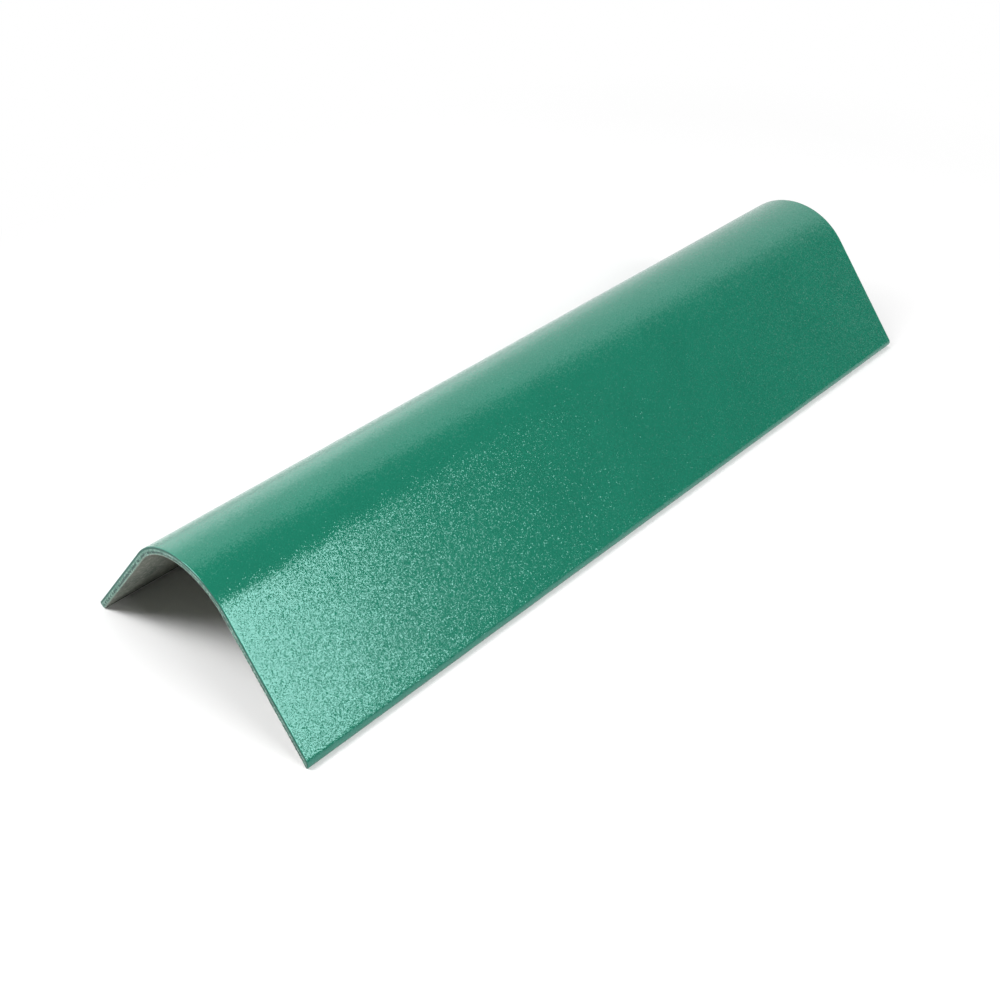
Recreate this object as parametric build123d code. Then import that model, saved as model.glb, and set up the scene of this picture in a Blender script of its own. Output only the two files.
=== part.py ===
from build123d import *
import math
import os

# Barge cap: one length of fibre-cement sheet, moulded to a soft ridge bend with two equal flat sides.
# It stands like a tent on the two long edges of its sides, called feet here.
# X runs along the cap, Y across it and Z up. The origin is on the floor, under the middle of the ridge.

# Driving sizes, in millimetres and degrees
LENGTH = 600.0
SHEET_THICKNESS = 5.0
SIDE_WIDTH = 90.0
SIDE_SLOPE = 50.5
BEND_RADIUS = 47.5
FRONT_FOOT_ROUND = 3.8
BACK_FOOT_ROUND = 1.2
FOOT_INNER_EASE = 1.0
FOOT_FLAT_STRIP = 0.2
END_ARRIS_EASE = 0.6

# The slope's sine and cosine, and how far the easing of a foot's inner arris lifts it
SLOPE_SIN = math.sin(math.radians(SIDE_SLOPE))
SLOPE_COS = math.cos(math.radians(SIDE_SLOPE))
FOOT_LIFT = FOOT_INNER_EASE * (SLOPE_SIN + SLOPE_COS - 1.0)


def side_point(distance: float, side: int) -> tuple[float, float]:
    """A point of the inner face, measured down a side from the end of the bend.

    Both feet touch the floor with the lowest point of their eased inner arris.
    side is -1 for the front and 1 for the back.
    """
    across = BEND_RADIUS * SLOPE_SIN + distance * SLOPE_COS
    height = (SIDE_WIDTH - distance) * SLOPE_SIN - FOOT_LIFT
    return side * across, height


def crown_point() -> tuple[float, float]:
    """The highest point of the inner face, at the crown of the ridge bend."""
    bend_end_height = side_point(0.0, 1)[1]
    return 0.0, bend_end_height + BEND_RADIUS * (1.0 - SLOPE_COS)


def outer_foot_round(wanted: float) -> float:
    """The rounding of a foot's outer arris, limited so that a strip of the cut edge stays flat."""
    return min(wanted, SHEET_THICKNESS - FOOT_INNER_EASE - FOOT_FLAT_STRIP)


def sheet_section() -> Sketch:
    """The section across the cap: its inner line, thickened outwards, with rounded feet.

    In the section's own plane, X runs across the cap and Y runs up. The outermost corners
    are the feet's outer arrises, and the lowest corners are their inner ones.
    """
    with BuildSketch(Plane.YZ) as section:
        with BuildLine():
            Line(side_point(SIDE_WIDTH, 1), side_point(0.0, 1))
            ThreePointArc(side_point(0.0, 1), crown_point(), side_point(0.0, -1))
            Line(side_point(0.0, -1), side_point(SIDE_WIDTH, -1))
            offset(amount=SHEET_THICKNESS, side=Side.RIGHT)
        make_face()
        fillet(section.vertices().group_by(Axis.X)[0], outer_foot_round(FRONT_FOOT_ROUND))
        fillet(section.vertices().group_by(Axis.X)[-1], outer_foot_round(BACK_FOOT_ROUND))
        fillet(section.vertices().group_by(Axis.Y)[0], FOOT_INNER_EASE)
    return section.sketch


def barge_cap() -> Part:
    """The section carried along the cap, with the arrises of both sawn ends eased."""
    cap = extrude(sheet_section(), amount=LENGTH / 2, both=True)
    sawn_ends = cap.faces().filter_by(Axis.X)
    cap = fillet(sawn_ends.edges(), END_ARRIS_EASE)
    cap.label = "barge_cap"
    return cap


os.makedirs("parts", exist_ok=True)
export_step(barge_cap(), "parts/barge_cap.step")
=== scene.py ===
"""Dresses the barge cap: one length of fibre-cement sheet, bent to a soft ridge and painted green.

The cap stands like a tent on the two long edges of its sides, called feet here. Lengths are in
metres, X along the cap, Y across it and Z up. A place in the sheet has three coordinates of its
own: x along the cap, s along the section's inner line from the front foot over the ridge to the
back foot, and d through the sheet from its underface to its painted face.

In the finishes and the studio, a pair of numbers called an edge is where a smooth step begins and
ends, a wander is how far noise moves an edge, and a place is an azimuth and an elevation.
"""

import logging
import math
from dataclasses import dataclass
from enum import Enum

import bpy
import numpy as np
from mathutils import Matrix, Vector


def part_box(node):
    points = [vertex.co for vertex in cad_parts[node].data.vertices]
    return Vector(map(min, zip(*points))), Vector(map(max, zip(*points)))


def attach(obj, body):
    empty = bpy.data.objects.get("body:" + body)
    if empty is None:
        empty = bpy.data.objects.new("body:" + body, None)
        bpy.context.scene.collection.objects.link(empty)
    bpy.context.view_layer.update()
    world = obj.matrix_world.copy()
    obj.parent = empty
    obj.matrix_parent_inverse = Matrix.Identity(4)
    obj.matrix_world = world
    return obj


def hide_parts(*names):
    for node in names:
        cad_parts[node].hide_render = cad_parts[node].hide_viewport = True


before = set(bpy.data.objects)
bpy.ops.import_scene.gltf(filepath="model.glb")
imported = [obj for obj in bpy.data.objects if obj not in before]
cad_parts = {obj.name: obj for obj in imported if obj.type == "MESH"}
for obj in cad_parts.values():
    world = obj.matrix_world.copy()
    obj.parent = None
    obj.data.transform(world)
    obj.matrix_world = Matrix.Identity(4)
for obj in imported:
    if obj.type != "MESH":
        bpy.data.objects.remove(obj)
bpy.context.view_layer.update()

CAP_NODE = "barge_cap"
CAP_BODY = "root"
MILLIMETRE = 0.001
SPECK_CORE = 0.4
WHITE = (1.0, 1.0, 1.0, 1.0)

log = logging.getLogger("barge_cap")

Colour = tuple[float, float, float]
Pair = tuple[float, float]


class SheetFace(Enum):
    """The six faces of the sheet: the grid axis that is constant on each, and its low or high side."""

    NEAR_END = (0, 0)
    FAR_END = (0, -1)
    FRONT_FOOT = (1, 0)
    BACK_FOOT = (1, -1)
    UNDER = (2, 0)
    PAINTED = (2, -1)


class Mark(Enum):
    """Names of the numbers kept at each point of the cap's mesh for its finishes."""

    DEPTH = "depth"
    SAWN = "sawn"
    FOOT = "foot"


@dataclass(frozen=True)
class Ripple:
    """Smooth seeded noise on a lattice, for unevenness that a made thing has."""

    seed: int
    pitch_u: float
    pitch_v: float
    lattice: int = 64

    def at(self, u: np.ndarray, v: np.ndarray) -> np.ndarray:
        """Random lattice values from -1 to 1, blended by smooth steps between neighbours.

        Args:
            u: First coordinate of each point.
            v: Second coordinate of each point, of a shape that goes with u.

        Returns:
            The noise at each point, repeating after as many pitches as the lattice has.
        """
        values = np.random.default_rng(self.seed).uniform(-1.0, 1.0, (self.lattice, self.lattice))
        u, v = np.broadcast_arrays(u / self.pitch_u, v / self.pitch_v)
        u0, v0 = np.floor(u).astype(int), np.floor(v).astype(int)
        fu, fv = u - u0, v - v0
        fu, fv = fu * fu * (3.0 - 2.0 * fu), fv * fv * (3.0 - 2.0 * fv)
        a, b = u0 % self.lattice, (u0 + 1) % self.lattice
        c, e = v0 % self.lattice, (v0 + 1) % self.lattice
        low = values[a, c] * (1.0 - fu) + values[b, c] * fu
        high = values[a, e] * (1.0 - fu) + values[b, e] * fu
        return low * (1.0 - fv) + high * fv


def rounding_drop(distance: np.ndarray, radius: float) -> np.ndarray:
    """How far a rounded arris lies below its face: r - sqrt(r^2 - (r - distance)^2) within r of the edge.

    Args:
        distance: How far each point is from the edge.
        radius: The arris's radius.

    Returns:
        The drop at each point, nothing from one radius on.
    """
    inside = radius - np.clip(distance, 0.0, radius)
    return radius - np.sqrt(np.maximum(radius * radius - inside * inside, 0.0))


def rounding_stations(radius: float, steps: int) -> np.ndarray:
    """Distances from an edge that divide a rounded arris into equal turns: r (1 - cos(turn)).

    Args:
        radius: The arris's radius.
        steps: How many equal turns the quarter circle has.

    Returns:
        The distances, from nothing to one radius.
    """
    return radius * (1.0 - np.cos(np.linspace(0.0, math.pi / 2, steps + 1)))


@dataclass(frozen=True)
class SheetSection:
    """The section across the cap: two flat sides, tangent to a round ridge bend."""

    thickness: float = 5.0 * MILLIMETRE
    side_width: float = 90.0 * MILLIMETRE
    side_slope: float = math.radians(50.5)
    bend_radius: float = 47.5 * MILLIMETRE
    front_foot_round: float = 3.8 * MILLIMETRE
    front_foot_reach: float = 4.9 * MILLIMETRE
    front_foot_reach_far: float = 3.5 * MILLIMETRE
    front_foot_steps: int = 10
    back_foot_round: float = 1.2 * MILLIMETRE
    back_foot_steps: int = 7
    foot_inner_ease: float = 1.0 * MILLIMETRE

    @property
    def line_length(self) -> float:
        """Length of the inner line, from foot to foot."""
        return 2.0 * (self.side_width + self.bend_radius * self.side_slope)

    @property
    def bend_height(self) -> float:
        """Height of the bend's centre, with the eased feet on the floor."""
        sine, cosine = math.sin(self.side_slope), math.cos(self.side_slope)
        foot_lift = self.foot_inner_ease * (sine + cosine - 1.0)
        return self.side_width * sine - self.bend_radius * cosine - foot_lift

    def place(self, s: np.ndarray, d: np.ndarray) -> tuple[np.ndarray, np.ndarray]:
        """Carries sheet coordinates into the section.

        The line turns by angle = (s - crown) / R, held at the slope on the flat sides, where the
        rest of s runs straight on: y = (R + d) sin(angle) + rest cos(angle) and
        z = bend height + (R + d) cos(angle) - rest sin(angle).

        Args:
            s: Distance along the inner line from the front foot.
            d: Distance through the sheet from its underface.

        Returns:
            The points' Y and Z.
        """
        from_crown = s - self.line_length / 2.0
        angle = np.clip(from_crown / self.bend_radius, -self.side_slope, self.side_slope)
        rest = from_crown - self.bend_radius * angle
        radius = self.bend_radius + d
        y = radius * np.sin(angle) + rest * np.cos(angle)
        z = self.bend_height + radius * np.cos(angle) - rest * np.sin(angle)
        return y, z

    def stations(self, pitch: float) -> np.ndarray:
        """Places along the inner line, close together where the feet are rounded.

        Args:
            pitch: Distance between places on the flat sides and the bend.

        Returns:
            The places, from foot to foot.
        """
        front = rounding_stations(self.front_foot_reach, self.front_foot_steps)
        back = self.line_length - rounding_stations(self.back_foot_round, self.back_foot_steps)[::-1]
        count = int(round((back[0] - front[-1]) / pitch))
        return np.concatenate([front, np.linspace(front[-1], back[0], count + 1)[1:-1], back])

    def front_reach(self, along: np.ndarray) -> np.ndarray:
        """How far the front foot's rounding reaches up its side, lessening evenly along the cap."""
        return self.front_foot_reach + (self.front_foot_reach_far - self.front_foot_reach) * along

    def foot_share(self, s: np.ndarray, along: np.ndarray) -> np.ndarray:
        """How far each place lies in a foot's rounding: 1 - distance from the foot / reach.

        Args:
            s: Distance along the inner line from the front foot.
            along: Share of the cap's length, from its near end.

        Returns:
            0 up to where the rounding begins, rising evenly to 1 at the foot.
        """
        front = 1.0 - s / self.front_reach(along)
        back = 1.0 - (self.line_length - s) / self.back_foot_round
        return np.clip(np.maximum(front, back), 0.0, 1.0)

    def depth_range(self, s: np.ndarray, along: np.ndarray) -> tuple[np.ndarray, np.ndarray]:
        """The underface's and the painted face's depth along the line, with the feet's arrises rounded.

        The front foot's rounding is a quarter of an ellipse, with its reach up the side as a half axis:
        a circle's drop, with the distance from the foot times radius over reach.

        Args:
            s: Distance along the inner line from the front foot.
            along: Share of the cap's length, from its near end.

        Returns:
            The lowest and the highest depth.
        """
        from_back = self.line_length - s
        low = rounding_drop(s, self.foot_inner_ease) + rounding_drop(from_back, self.foot_inner_ease)
        on_circle = s * self.front_foot_round / self.front_reach(along)
        front_drop = rounding_drop(on_circle, self.front_foot_round)
        return low, self.thickness - front_drop - rounding_drop(from_back, self.back_foot_round)


@dataclass(frozen=True)
class SawnEnd:
    """How a sawn end departs from a plane: saw marks, and chips along the underface's arris.

    A pitch is the size of the lumps along the line, and through the sheet as a share of its thickness.
    """

    seed: int
    out_of_square: float = 0.0
    arris_ease: float = 0.6 * MILLIMETRE
    arris_steps: int = 4
    saw_mark: float = 0.08 * MILLIMETRE
    mark_pitch: Pair = (1.6 * MILLIMETRE, 0.31)
    chip_depth: float = 0.25 * MILLIMETRE
    chip_pitch: Pair = (1.3 * MILLIMETRE, 0.42)
    chip_reach: float = 0.34
    chip_gain: float = 1.8
    chip_threshold: float = 0.35

    def recess(self, s: np.ndarray, share: np.ndarray) -> np.ndarray:
        """How far each point of the end lies inside its plane.

        Saw marks are even noise. Chips are noise above a threshold, strongest at the underface's
        arris and gone at a share of the thickness.

        Args:
            s: Distance along the inner line.
            share: Depth as a share of the thickness, 0 at the underface.

        Returns:
            The recess of each point.
        """
        marks = Ripple(self.seed, *self.mark_pitch).at(s, share)
        chips = Ripple(self.seed + 1, *self.chip_pitch).at(s, share)
        near_arris = np.clip(1.0 - share / self.chip_reach, 0.0, 1.0)
        chipped = np.clip(chips * self.chip_gain - self.chip_threshold, 0.0, 1.0) * near_arris
        return self.saw_mark * (1.0 + marks) / 2.0 + self.chip_depth * chipped


@dataclass
class BargeCap:
    """The whole cap as one closed sheet."""

    section: SheetSection = SheetSection()
    near_end: SawnEnd = SawnEnd(seed=21, out_of_square=0.02)
    far_end: SawnEnd = SawnEnd(seed=31)
    line_pitch: float = 0.8 * MILLIMETRE
    length_pitch: float = 7.0 * MILLIMETRE
    pitch_growth: float = 1.35
    growth_steps: int = 9
    depth_steps: int = 7
    sawn_fade: float = 1.6
    sheet_wave: float = 0.12 * MILLIMETRE
    long_wave: Ripple = Ripple(seed=11, pitch_u=85.0 * MILLIMETRE, pitch_v=60.0 * MILLIMETRE)
    short_wave: Ripple = Ripple(seed=12, pitch_u=34.0 * MILLIMETRE, pitch_v=27.0 * MILLIMETRE)
    short_wave_share: float = 0.5
    foot_wear: float = 0.15 * MILLIMETRE
    wear_ripple: Ripple = Ripple(seed=5, pitch_u=31.0 * MILLIMETRE, pitch_v=1.0)
    wear_row: float = 2.0

    def length_stations(self, low: float, high: float) -> np.ndarray:
        """Places along the cap, close together at the eased ends and further apart between them.

        Past an end's arris the steps grow by a constant ratio, up to the pitch.

        Args:
            low: X of the near end.
            high: X of the far end.

        Returns:
            The places, from end to end.
        """
        ease = self.near_end.arris_ease
        steps = self.line_pitch * self.pitch_growth ** np.arange(self.growth_steps)
        grown = ease + np.cumsum(np.minimum(steps, self.length_pitch))
        margin = np.concatenate([rounding_stations(ease, self.near_end.arris_steps), grown])
        count = int(round((high - low - 2.0 * margin[-1]) / self.length_pitch))
        between = np.linspace(low + margin[-1], high - margin[-1], count + 1)[1:-1]
        return np.concatenate([low + margin, between, high - margin[::-1]])

    def points(self) -> tuple[np.ndarray, dict[Mark, np.ndarray]]:
        """Every point of the sheet's grid, as a function of x, s and the share of the depth.

        The share runs from the underface to the painted face. Within the end arrises both faces
        and both feet draw in by the arris's drop. Two waves bend the whole sheet along its normal,
        by 1 - m^4 of their height, where m goes from 1 at the front foot over 0 at the ridge to -1
        at the back foot. The feet are worn by a little of their length.

        Returns:
            The points, and their marks: the share of the depth, and how far each point belongs to
            a sawn end and to a foot's rounding.
        """
        low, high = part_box(CAP_NODE)
        x = self.length_stations(low.x, high.x)[:, None, None]
        s = self.section.stations(self.line_pitch)[None, :, None]
        share = np.linspace(0.0, 1.0, self.depth_steps + 1)[None, None, :]
        to_end = np.minimum(x - low.x, high.x - x)
        draw_in = rounding_drop(to_end, self.near_end.arris_ease)
        along = (x - low.x) / (high.x - low.x)
        bottom, top = self.section.depth_range(s, along)
        depth = bottom + draw_in + (top - bottom - 2.0 * draw_in) * share
        from_middle = 1.0 - 2.0 * s / self.section.line_length
        wear = self.foot_wear * (1.0 + self.wear_ripple.at(x, from_middle + self.wear_row)) / 2.0
        line = s + (draw_in + wear) * from_middle
        wave = self.long_wave.at(x, s) + self.short_wave_share * self.short_wave.at(x, s)
        y, z = self.section.place(line, depth + self.sheet_wave * wave * (1.0 - from_middle**4))
        sawn = np.clip(1.0 - self.sawn_fade * to_end / self.near_end.arris_ease, 0.0, 1.0)
        recess = np.where(x < 0.0, self.near_end.recess(s, share), -self.far_end.recess(s, share))
        skew = self.near_end.out_of_square * (1.0 - along) + self.far_end.out_of_square * along
        place = np.stack(np.broadcast_arrays(x + recess * sawn + skew * y, y, z), axis=-1)
        marks = {Mark.DEPTH: share, Mark.SAWN: sawn, Mark.FOOT: self.section.foot_share(s, along)}
        return place, {mark: np.broadcast_to(values, place.shape[:3]) for mark, values in marks.items()}

    def build(self) -> bpy.types.Object:
        """Puts the boundary of the grid into one mesh, with its marks.

        Returns:
            The cap's object.
        """
        place, marks = self.points()
        shape = place.shape[:3]
        boundary = np.zeros(shape, bool)
        for face in SheetFace:
            axis, side = face.value
            np.moveaxis(boundary, axis, 0)[side] = True
        index = np.full(shape, -1)
        index[boundary] = np.arange(np.count_nonzero(boundary))
        quads = np.concatenate([self.face_quads(index, face) for face in SheetFace])
        mesh = bpy.data.meshes.new("cap_sheet")
        mesh.from_pydata(place[boundary].tolist(), [], quads.tolist())
        for mark, values in marks.items():
            layer = mesh.attributes.new(mark.value, "FLOAT", "POINT")
            layer.data.foreach_set("value", values[boundary].astype(np.float32))
        mesh.polygons.foreach_set("use_smooth", np.ones(len(mesh.polygons), bool))
        mesh.update()
        cap = bpy.data.objects.new("cap_sheet", mesh)
        bpy.context.scene.collection.objects.link(cap)
        return cap

    @staticmethod
    def face_quads(index: np.ndarray, face: SheetFace) -> np.ndarray:
        """The quads of one face, turned outwards.

        Args:
            index: Number of each grid point in the mesh.
            face: Which face.

        Returns:
            Four point numbers for each quad.
        """
        axis, side = face.value
        sheet = np.moveaxis(index, axis, 0)[side]
        corners = [sheet[:-1, :-1], sheet[1:, :-1], sheet[1:, 1:], sheet[:-1, 1:]]
        turned = (axis == 1) == (side == 0)
        order = corners if turned else corners[::-1]
        return np.stack(order, axis=-1).reshape(-1, 4)

    def dress(self, cap: bpy.types.Object, material: bpy.types.Material) -> None:
        """Gives the cap its finish and its place in the frame.

        Args:
            cap: The cap's object.
            material: The finish of all its faces.
        """
        cap.data.materials.append(material)
        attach(cap, CAP_BODY)
        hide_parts(CAP_NODE)


@dataclass(frozen=True)
class Value:
    """A shader socket that takes part in Python arithmetic."""

    tree: "ShaderTree"
    socket: bpy.types.NodeSocket

    def __add__(self, other: "Number") -> "Value":
        """This plus other."""
        return self.tree.maths("ADD", self, other)

    __radd__ = __add__

    def __sub__(self, other: "Number") -> "Value":
        """This less other."""
        return self.tree.maths("SUBTRACT", self, other)

    def __rsub__(self, other: "Number") -> "Value":
        """Other less this."""
        return self.tree.maths("SUBTRACT", other, self)

    def __mul__(self, other: "Number") -> "Value":
        """This times other."""
        return self.tree.maths("MULTIPLY", self, other)

    __rmul__ = __mul__

    def at_least(self, other: "Number") -> "Value":
        """The larger of this and other."""
        return self.tree.maths("MAXIMUM", self, other)

    def at_most(self, other: "Number") -> "Value":
        """The smaller of this and other."""
        return self.tree.maths("MINIMUM", self, other)


Number = Value | float
Settings = dict[str, object]
Sockets = dict[str | int, object]


class ShaderTree:
    """A node tree that is written as expressions."""

    def __init__(self, tree: bpy.types.NodeTree) -> None:
        """Empties the tree.

        Args:
            tree: A material's or the world's node tree.
        """
        self.tree = tree
        self.tree.nodes.clear()

    def node(
        self,
        kind: str,
        settings: Settings | None = None,
        sockets: Sockets | None = None,
    ) -> bpy.types.Node:
        """Adds a node, sets it and fills its sockets.

        Args:
            kind: The node's type.
            settings: Values of its own, which are set first.
            sockets: A value, or a Value to link, for each named or numbered input.

        Returns:
            The node.
        """
        made = self.tree.nodes.new(kind)
        for name, setting in (settings or {}).items():
            setattr(made, name, setting)
        for name, given in (sockets or {}).items():
            if isinstance(given, Value):
                self.tree.links.new(given.socket, made.inputs[name])
            else:
                made.inputs[name].default_value = given
        return made

    def value(
        self,
        kind: str,
        output: str | int,
        settings: Settings | None = None,
        sockets: Sockets | None = None,
    ) -> Value:
        """Adds a node and wraps one of its outputs.

        Args:
            kind: The node's type.
            output: Name or number of the output.
            settings: As for node.
            sockets: As for node.

        Returns:
            The output.
        """
        return Value(self, self.node(kind, settings, sockets).outputs[output])

    def maths(self, operation: str, a: Number, b: Number) -> Value:
        """One Math node."""
        return self.value("ShaderNodeMath", 0, {"operation": operation}, {0: a, 1: b})

    def step(self, value: Value, low: float, high: float) -> Value:
        """A smooth step from 0 at low to 1 at high."""
        sockets = {"Value": value, "From Min": low, "From Max": high}
        return self.value("ShaderNodeMapRange", 0, {"interpolation_type": "SMOOTHSTEP"}, sockets)

    def blend(self, factor: Number, a: Value | Colour, b: Value | Colour) -> Value:
        """A colour from a at factor 0 to b at factor 1. Inputs 6 and 7 and output 2 are the colour ones."""
        first, second = (c if isinstance(c, Value) else (*c, 1.0) for c in (a, b))
        return self.value("ShaderNodeMix", 2, {"data_type": "RGBA"}, {0: factor, 6: first, 7: second})

    def vector(self, operation: str, a: Value, b: Value | Colour = (0.0, 0.0, 0.0)) -> Value:
        """One Vector Math node that gives a vector."""
        return self.value("ShaderNodeVectorMath", 0, {"operation": operation}, {0: a, 1: b})

    def towards(self, vector: Value, way: Vector) -> Value:
        """How far a vector reaches in a direction: their dot product."""
        sockets = {0: vector, 1: way}
        return self.value("ShaderNodeVectorMath", "Value", {"operation": "DOT_PRODUCT"}, sockets)

    def mark(self, mark: Mark) -> Value:
        """A number kept at the mesh's points."""
        return self.value("ShaderNodeAttribute", "Fac", {"attribute_name": mark.value})

    def here(self) -> Value:
        """The place on the piece, in its own frame."""
        return self.value("ShaderNodeTexCoord", "Object")

    def noise(self, place: Value, size: float, detail: float = 2.0, roughness: float = 0.5) -> Value:
        """Cloudy noise from 0 to 1.

        Args:
            place: Where to read it.
            size: How large its lumps are.
            detail: Octaves of finer lumps.
            roughness: How strong the finer lumps are.

        Returns:
            The noise.
        """
        sockets = {"Vector": place, "Scale": 1.0 / size, "Detail": detail, "Roughness": roughness}
        return self.value("ShaderNodeTexNoise", 0, None, sockets)

    def specks(self, place: Value, size: float, radius: float, share: float) -> Value:
        """Small round specks in a share of the cells of a Voronoi pattern.

        A speck is whole out to SPECK_CORE of its radius and fades from there.

        Args:
            place: Where to read them.
            size: The cells' size.
            radius: A speck's radius, as a share of a cell.
            share: How many of the cells have one, from 0 to 1.

        Returns:
            1 in a speck and 0 outside it.
        """
        cells = self.node("ShaderNodeTexVoronoi", None, {"Vector": place, "Scale": 1.0 / size})
        distance = Value(self, cells.outputs["Distance"])
        chance = self.value("ShaderNodeSeparateColor", 0, None, {0: Value(self, cells.outputs["Color"])})
        chosen = self.maths("GREATER_THAN", chance, 1.0 - share)
        return chosen * (1.0 - self.step(distance, radius * SPECK_CORE, radius))


@dataclass(frozen=True)
class Layer:
    """What a finish gives at each point: its colour, its roughness and its height in metres."""

    colour: Value
    roughness: Value
    height: Value


@dataclass(frozen=True)
class PearlPaint:
    """Semi-gloss green paint: leaning flakes in a pebbled skin, pale specks painted in as the flakes'
    glints, and painted shade on the feet's roundings.
    """

    green: Colour = (0.0115, 0.179, 0.1105)
    shade: Colour = (0.0107, 0.171, 0.1055)
    # Colour of the pale specks, which are painted glints of the pearl flakes.
    pearl_glint: Colour = (0.105, 0.420, 0.320)
    # Darker green painted onto the feet's roundings as shade.
    foot_shade_green: Colour = (0.0125, 0.140, 0.092)
    roughness: float = 0.15
    roughness_spread: float = 0.22
    cloud_size: float = 45.0 * MILLIMETRE
    cloud_edge: Pair = (0.35, 0.68)
    pebble_size: float = 2.4 * MILLIMETRE
    pebble_height: float = 0.060 * MILLIMETRE
    flake_size: float = 0.45 * MILLIMETRE
    flake_lean: float = 0.06
    flake_stray: float = 0.32
    grain_size: float = 0.675 * MILLIMETRE
    speck_size: float = 1.1 * MILLIMETRE
    speck_radius: float = 0.42
    speck_share: float = 0.16
    glint_speck_strength: float = 0.22
    foot_shade_edge: Pair = (0.0, 0.25)
    foot_shade_wander: float = 0.2

    def layer(self, tree: ShaderTree) -> Layer:
        """Clouds of two greens with pale specks painted in as glints, painted shade on the feet's
        roundings, over low pebbles.

        Args:
            tree: The material's tree.

        Returns:
            The paint at each point.
        """
        here = tree.here()
        pebble = tree.noise(here, self.pebble_size, detail=1.0)
        cloud = tree.noise(here, self.cloud_size, detail=3.0)
        colour = tree.blend(tree.step(cloud, *self.cloud_edge), self.green, self.shade)
        # Pale specks blended into the base colour: painted glints of the pearl flakes.
        specks = tree.specks(here, self.speck_size, self.speck_radius, self.speck_share)
        colour = tree.blend(specks * self.glint_speck_strength, colour, self.pearl_glint)
        grain = tree.noise(here, self.grain_size, detail=1.0) - 0.5
        # Darker green where the surface turns into a foot's rounding: painted shade on the rolled edge.
        foot = tree.step(tree.mark(Mark.FOOT) + grain * self.foot_shade_wander, *self.foot_shade_edge)
        colour = tree.blend(foot, colour, self.foot_shade_green)
        return Layer(colour, self.roughness + grain * self.roughness_spread, pebble * self.pebble_height)

    def lean(self, tree: ShaderTree, share: Value) -> Value:
        """The surface's normal, leant another way in each flake: by its random colour less a half.

        Most flakes lean little; the square of a second random number gives some of them a wide stray.

        Args:
            tree: The material's tree.
            share: 1 where there is paint and 0 elsewhere.

        Returns:
            The normal.
        """
        sockets = {"Vector": tree.here(), "Scale": 1.0 / self.flake_size}
        flakes = tree.value("ShaderNodeTexVoronoi", "Color", None, sockets)
        lean = tree.vector("SUBTRACT", flakes, (0.5, 0.5, 0.5))
        chance = tree.value("ShaderNodeTexWhiteNoise", "Value", None, {"Vector": flakes})
        stray = chance * chance * self.flake_stray
        sockets = {0: lean, "Scale": share * (stray + self.flake_lean)}
        lean = tree.value("ShaderNodeVectorMath", 0, {"operation": "SCALE"}, sockets)
        upright = tree.value("ShaderNodeNewGeometry", "Normal")
        return tree.vector("NORMALIZE", tree.vector("ADD", upright, lean))


@dataclass(frozen=True)
class BareBoard:
    """Bare moulded fibre cement: warm grey, mottled, with a fine grain and a few pits."""

    grey: Colour = (0.180, 0.169, 0.138)
    dark: Colour = (0.095, 0.090, 0.074)
    pale: Colour = (0.380, 0.362, 0.310)
    roughness: float = 0.88
    roughness_spread: float = 0.1
    mottle_size: float = 28.0 * MILLIMETRE
    mottle_edge: Pair = (0.38, 0.70)
    grain_size: float = 1.9 * MILLIMETRE
    grain_height: float = 0.16 * MILLIMETRE
    grain_edge: Pair = (0.48, 0.68)
    grain_strength: float = 0.75
    pit_size: float = 4.5 * MILLIMETRE
    pit_radius: float = 0.16
    pit_share: float = 0.35
    pit_strength: float = 0.7
    pit_depth: float = 1.5

    def layer(self, tree: ShaderTree) -> Layer:
        """Mottle of three greys with grain, and pits that are some grain heights deep.

        Args:
            tree: The material's tree.

        Returns:
            The board at each point.
        """
        here = tree.here()
        mottle = tree.noise(here, self.mottle_size, detail=4.0, roughness=0.6)
        grain = tree.noise(here, self.grain_size, detail=3.0, roughness=0.6)
        colour = tree.blend(tree.step(mottle, *self.mottle_edge), self.grey, self.dark)
        colour = tree.blend(tree.step(grain, *self.grain_edge) * self.grain_strength, colour, self.pale)
        pits = tree.specks(here, self.pit_size, self.pit_radius, self.pit_share)
        colour = tree.blend(pits * self.pit_strength, colour, self.dark)
        roughness = self.roughness + (grain - 0.5) * self.roughness_spread
        return Layer(colour, roughness, (grain - pits * self.pit_depth) * self.grain_height)


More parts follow.
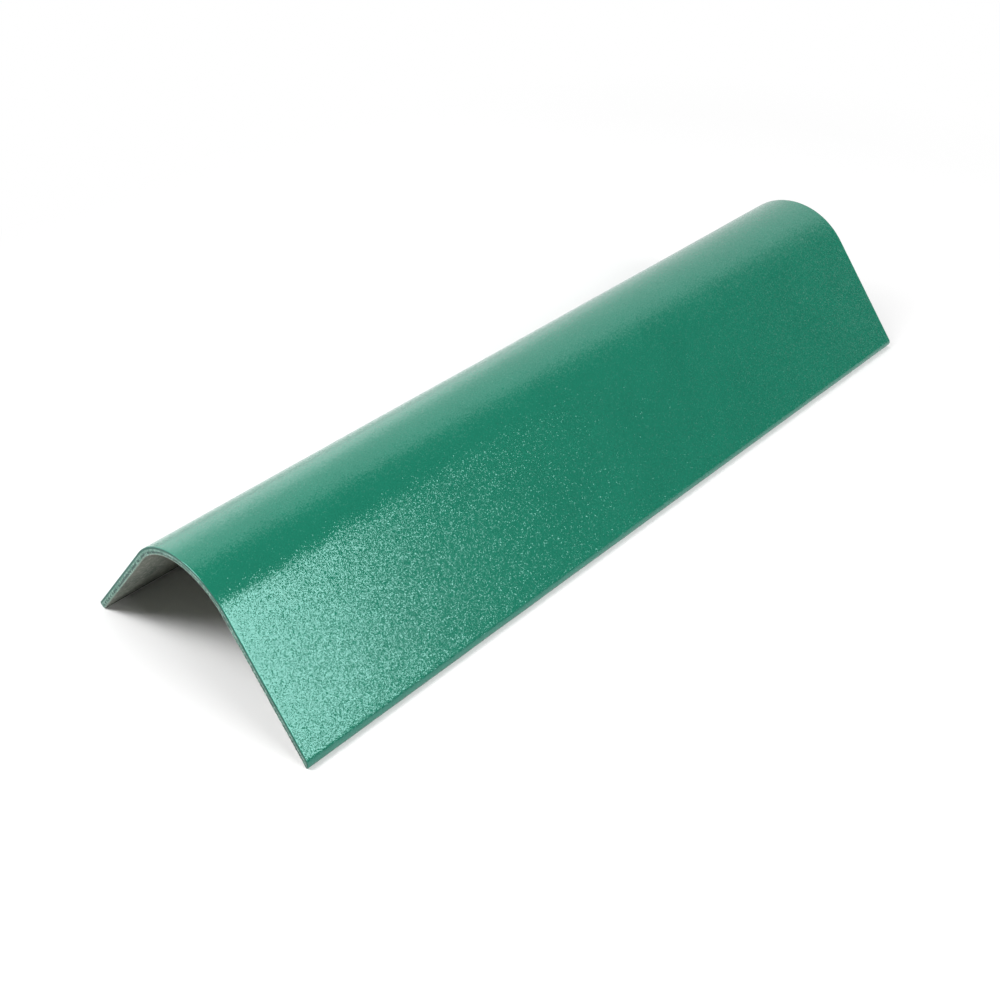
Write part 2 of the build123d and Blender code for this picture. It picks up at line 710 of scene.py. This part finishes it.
@dataclass(frozen=True)
class SawnEdge:
    """A sawn edge under a thin coat of paint: grey green with dark pits, down to the bare core."""

    coat: Colour = (0.065, 0.175, 0.128)
    pale: Colour = (0.275, 0.395, 0.335)
    pit: Colour = (0.012, 0.032, 0.024)
    # Dark green of the line painted along the arris with the painted face, as shade on that arris.
    arris_shade_line: Colour = (0.008, 0.070, 0.047)
    core: Colour = (0.175, 0.215, 0.172)
    roughness: float = 0.62
    roughness_spread: float = 0.1
    grain_size: float = 1.6 * MILLIMETRE
    grain_height: float = 0.16 * MILLIMETRE
    grain_edge: Pair = (0.44, 0.64)
    core_edge: Pair = (0.02, 0.12)
    core_wander: float = 0.9
    pit_size: float = 2.0 * MILLIMETRE
    pit_edge: Pair = (0.60, 0.68)
    pit_band_start: Pair = (0.06, 0.16)
    pit_band_end: Pair = (0.40, 0.58)
    pit_depth: float = 2.0
    streak_size: float = 3.5 * MILLIMETRE
    streak_strength: float = 0.35
    arris_shade_edge: Pair = (0.74, 0.84)
    arris_shade_wander: float = 0.15

    def layer(self, tree: ShaderTree) -> Layer:
        """Thin coat with pale grains, pits towards the underface, the bare core, and a dark line of painted
        shade along the arris with the painted face.

        Args:
            tree: The material's tree.

        Returns:
            The sawn edge at each point.
        """
        here = tree.here()
        depth = tree.mark(Mark.DEPTH)
        grain = tree.noise(here, self.grain_size, detail=3.0, roughness=0.65)
        wander = grain - 0.5
        colour = tree.blend(tree.step(grain, *self.grain_edge), self.coat, self.pale)
        bare = 1.0 - tree.step(depth + wander * self.core_wander, *self.core_edge)
        colour = tree.blend(bare, colour, self.core)
        pit_band = tree.step(depth, *self.pit_band_start) * (1.0 - tree.step(depth, *self.pit_band_end))
        streak = tree.noise(here, self.streak_size) * self.streak_strength
        pitted = tree.noise(here, self.pit_size, roughness=0.7) + streak
        pits = tree.step(pitted, *self.pit_edge) * pit_band
        colour = tree.blend(pits, colour, self.pit)
        # A dark line of painted shade along the arris where the end meets the painted face.
        line = tree.step(depth + wander * self.arris_shade_wander, *self.arris_shade_edge)
        colour = tree.blend(line, colour, self.arris_shade_line)
        roughness = self.roughness + wander * self.roughness_spread
        return Layer(colour, roughness, (grain - pits * self.pit_depth) * self.grain_height)


@dataclass(frozen=True)
class CapFinish:
    """All the cap's faces: paint outside, bare board below, and thinly coated sawn ends."""

    paint: PearlPaint = PearlPaint()
    board: BareBoard = BareBoard()
    sawn: SawnEdge = SawnEdge()
    sheen_tint: Colour = (0.55, 1.0, 0.94)
    sheen_level: float = 1.0
    wander_size: float = 2.2 * MILLIMETRE
    paint_edge: Pair = (0.06, 0.20)
    paint_wander: float = 0.16
    sawn_edge: Pair = (0.35, 0.75)
    sawn_wander: float = 0.5

    def build(self) -> bpy.types.Material:
        """One material, whose marks say where each finish lies.

        Returns:
            The material.
        """
        material = bpy.data.materials.new("painted_fibre_cement")
        material.use_nodes = True
        tree = ShaderTree(material.node_tree)
        paint, board, sawn = (finish.layer(tree) for finish in (self.paint, self.board, self.sawn))
        wander = tree.noise(tree.here(), self.wander_size, detail=3.0) - 0.5
        painted = tree.step(tree.mark(Mark.DEPTH) + wander * self.paint_wander, *self.paint_edge)
        cut = tree.step(tree.mark(Mark.SAWN) + wander * self.sawn_wander, *self.sawn_edge)
        colour = tree.blend(cut, tree.blend(painted, board.colour, paint.colour), sawn.colour)
        roughness = self.over(cut, self.over(painted, board.roughness, paint.roughness), sawn.roughness)
        height = self.over(cut, self.over(painted, board.height, paint.height), sawn.height)
        lean = self.paint.lean(tree, painted * (1.0 - cut))
        sockets = {"Height": height, "Strength": 1.0, "Distance": 1.0, "Normal": lean}
        normal = tree.value("ShaderNodeBump", 0, None, sockets)
        sockets = {
            "Base Color": colour,
            "Roughness": roughness,
            "Normal": normal,
            "Specular IOR Level": self.sheen_level,
            "Specular Tint": (*self.sheen_tint, 1.0),
        }
        surface = tree.value("ShaderNodeBsdfPrincipled", 0, None, sockets)
        tree.node("ShaderNodeOutputMaterial", None, {"Surface": surface})
        return material

    @staticmethod
    def over(mask: Value, below: Value, above: Value) -> Value:
        """The upper value where the mask is 1, and the lower one where it is 0."""
        return below + (above - below) * mask


def direction(azimuth: float, elevation: float) -> Vector:
    """The direction from the cap to a place round it.

    Args:
        azimuth: Degrees round the cap, 0 in front and 90 to its right.
        elevation: Degrees above the floor.

    Returns:
        A vector of length 1.
    """
    a, e = math.radians(azimuth), math.radians(elevation)
    return Vector((math.sin(a) * math.cos(e), -math.cos(a) * math.cos(e), math.sin(e)))


@dataclass(frozen=True)
class Softbox:
    """A rectangular studio lamp that faces the cap, at an azimuth and an elevation as for direction."""

    name: str
    azimuth: float
    elevation: float
    distance: float
    width: float
    height: float
    radiance: float

    def build(self, aim: Vector) -> bpy.types.Object:
        """Makes the lamp, whose power is radiance times pi times its area.

        Args:
            aim: The point it faces.

        Returns:
            The lamp's object.
        """
        light = bpy.data.lights.new(self.name, "AREA")
        light.shape = "RECTANGLE"
        light.size, light.size_y = self.width, self.height
        light.energy = self.radiance * math.pi * self.width * self.height
        lamp = bpy.data.objects.new(self.name, light)
        back = direction(self.azimuth, self.elevation)
        lamp.location = aim + back * self.distance
        lamp.rotation_euler = (-back).to_track_quat("-Z", "Y").to_euler()
        lamp.visible_camera = False
        bpy.context.scene.collection.objects.link(lamp)
        return lamp


@dataclass(frozen=True)
class Camera:
    """The camera at the photograph's angle. The frame is square."""

    azimuth: float = -47.61
    elevation: float = 36.39
    distance: float = 0.938
    target: tuple[float, float, float] = (-0.0555, -0.0080, 0.0)
    focal_share: float = 1.407
    sensor: float = 36.0

    def build(self) -> bpy.types.Object:
        """Makes the scene's camera.

        Returns:
            The camera's object.
        """
        data = bpy.data.cameras.new("camera")
        data.sensor_width = self.sensor
        data.lens = self.sensor * self.focal_share
        camera = bpy.data.objects.new("camera", data)
        back = direction(self.azimuth, self.elevation)
        camera.location = Vector(self.target) + back * self.distance
        camera.rotation_euler = (-back).to_track_quat("-Z", "Y").to_euler()
        bpy.context.scene.collection.objects.link(camera)
        bpy.context.scene.camera = camera
        return camera


@dataclass
class Studio:
    """A white floor, a dim room with low white walls and a backdrop, and two softboxes."""

    floor_half: float = 30.0
    floor_white: float = 0.93
    cap_half: Pair = (0.30, 0.097)
    shadow_reach: Pair = (0.10, 0.50)
    front_place: Pair = (0.0, 0.0)
    front_lift: float = 0.33
    right_place: Pair = (90.0, 0.0)
    right_lift: float = 0.70
    lift_strip: float = 4.0 * MILLIMETRE
    room_level: float = 0.03
    wall_edge: Pair = (0.09, 0.12)
    left_place: Pair = (-90.0, 0.0)
    left_edge: Pair = (0.20, 0.60)
    left_rise: float = 0.04
    backdrop_place: Pair = (145.0, -30.0)
    backdrop_edge: Pair = (-0.07, 0.09)
    backdrop_level: float = 1.0
    window_edge: Pair = (0.66, 0.86)
    window_level: float = 0.60
    lamp_aim: tuple[float, float, float] = (0.0, 0.0, 0.04)
    lamps: tuple[Softbox, ...] = (
        Softbox(
            name="rear_softbox",
            azimuth=-123.5,
            elevation=50.8,
            distance=2.2,
            width=0.95,
            height=0.95,
            radiance=14.2,
        ),
        Softbox(
            name="front_softbox",
            azimuth=4.8,
            elevation=36.2,
            distance=2.5,
            width=1.72,
            height=1.29,
            radiance=6.9,
        ),
    )

    def floor(self) -> bpy.types.Object:
        """A square floor that keeps the cap's shadow near it and is plain white further off.

        Returns:
            The floor's object.
        """
        half = self.floor_half
        corners = [(-half, -half, 0.0), (half, -half, 0.0), (half, half, 0.0), (-half, half, 0.0)]
        mesh = bpy.data.meshes.new("floor")
        mesh.from_pydata(corners, [], [(0, 1, 2, 3)])
        material = bpy.data.materials.new("floor_white")
        material.use_nodes = True
        tree = ShaderTree(material.node_tree)
        white = (self.floor_white,) * 3 + (1.0,)
        lit = tree.value("ShaderNodeBsdfDiffuse", 0, None, {"Color": white})
        plain = tree.value("ShaderNodeEmission", 0, None, {"Color": WHITE, "Strength": 1.0})
        sockets = {0: self.plain_share(tree), 1: lit, 2: plain}
        surface = tree.value("ShaderNodeMixShader", 0, None, sockets)
        tree.node("ShaderNodeOutputMaterial", None, {"Surface": surface})
        mesh.materials.append(material)
        floor = bpy.data.objects.new("floor", mesh)
        bpy.context.scene.collection.objects.link(floor)
        return floor

    def plain_share(self, tree: ShaderTree) -> Value:
        """How far the floor is plain white where the camera or a reflection sees it.

        It grows with the distance from the box round the cap. In front of the cap and to its right it is
        lifted by a fixed share, because the photograph's shadow is lighter there than the lamps make it.

        Args:
            tree: The floor's tree.

        Returns:
            0 where the floor shows only the light that falls on it, to 1 where it is plain white.
        """
        here = tree.here()
        spread = tree.vector("SUBTRACT", tree.vector("ABSOLUTE", here), (*self.cap_half, 0.0))
        spread = tree.vector("MAXIMUM", spread)
        distance = tree.value("ShaderNodeVectorMath", "Value", {"operation": "LENGTH"}, {0: spread})
        share = tree.step(distance, *self.shadow_reach)
        half_length, half_width = self.cap_half
        front = (self.front_place, half_width, self.front_lift)
        right = (self.right_place, half_length, self.right_lift)
        for place, half, lift in (front, right):
            side = tree.towards(here, direction(*place))
            share = share.at_least(tree.step(side, half - self.lift_strip, half) * lift)
        path = tree.node("ShaderNodeLightPath")
        rays = ("Is Camera Ray", "Is Glossy Ray", "Is Transmission Ray")
        seen, mirrored, passed = (Value(tree, path.outputs[ray]) for ray in rays)
        return share * (seen + mirrored + passed).at_most(1.0)

    def world(self) -> bpy.types.World:
        """A dim room with low white walls, higher at the left, and a backdrop sweeping up behind the cap.

        The backdrop is brighter where a window lights it, straight behind the cap.

        Returns:
            The world.
        """
        world = bpy.data.worlds.new("studio")
        world.use_nodes = True
        tree = ShaderTree(world.node_tree)
        way = tree.value("ShaderNodeTexCoord", "Generated")
        parts = tree.node("ShaderNodeSeparateXYZ", None, {0: way})
        behind, above = Value(tree, parts.outputs[1]), Value(tree, parts.outputs[2])
        left = tree.step(tree.towards(way, direction(*self.left_place)), *self.left_edge)
        wall = 1.0 - tree.step(above - left * self.left_rise, *self.wall_edge)
        level = tree.step(behind, *self.window_edge) * self.window_level + self.backdrop_level
        sweep = tree.step(tree.towards(way, direction(*self.backdrop_place)), *self.backdrop_edge) * level
        strength = wall.at_least(sweep).at_least(self.room_level)
        surface = tree.value("ShaderNodeBackground", 0, None, {"Color": WHITE, "Strength": strength})
        tree.node("ShaderNodeOutputWorld", None, {"Surface": surface})
        bpy.context.scene.world = world
        return world

    def build(self) -> None:
        """Sets up the floor, the world and the lamps."""
        self.floor()
        self.world()
        for lamp in self.lamps:
            lamp.build(Vector(self.lamp_aim))
        bpy.context.scene.view_settings.view_transform = "Standard"


def main() -> None:
    """Builds the cap, dresses it and sets the studio."""
    logging.basicConfig(level=logging.INFO, format="%(name)s: %(message)s")
    cap = BargeCap()
    sheet = cap.build()
    cap.dress(sheet, CapFinish().build())
    log.info("%s: %d points, %d quads", sheet.name, len(sheet.data.vertices), len(sheet.data.polygons))
    Studio().build()
    Camera().build()


if __name__ == "__main__":
    main()
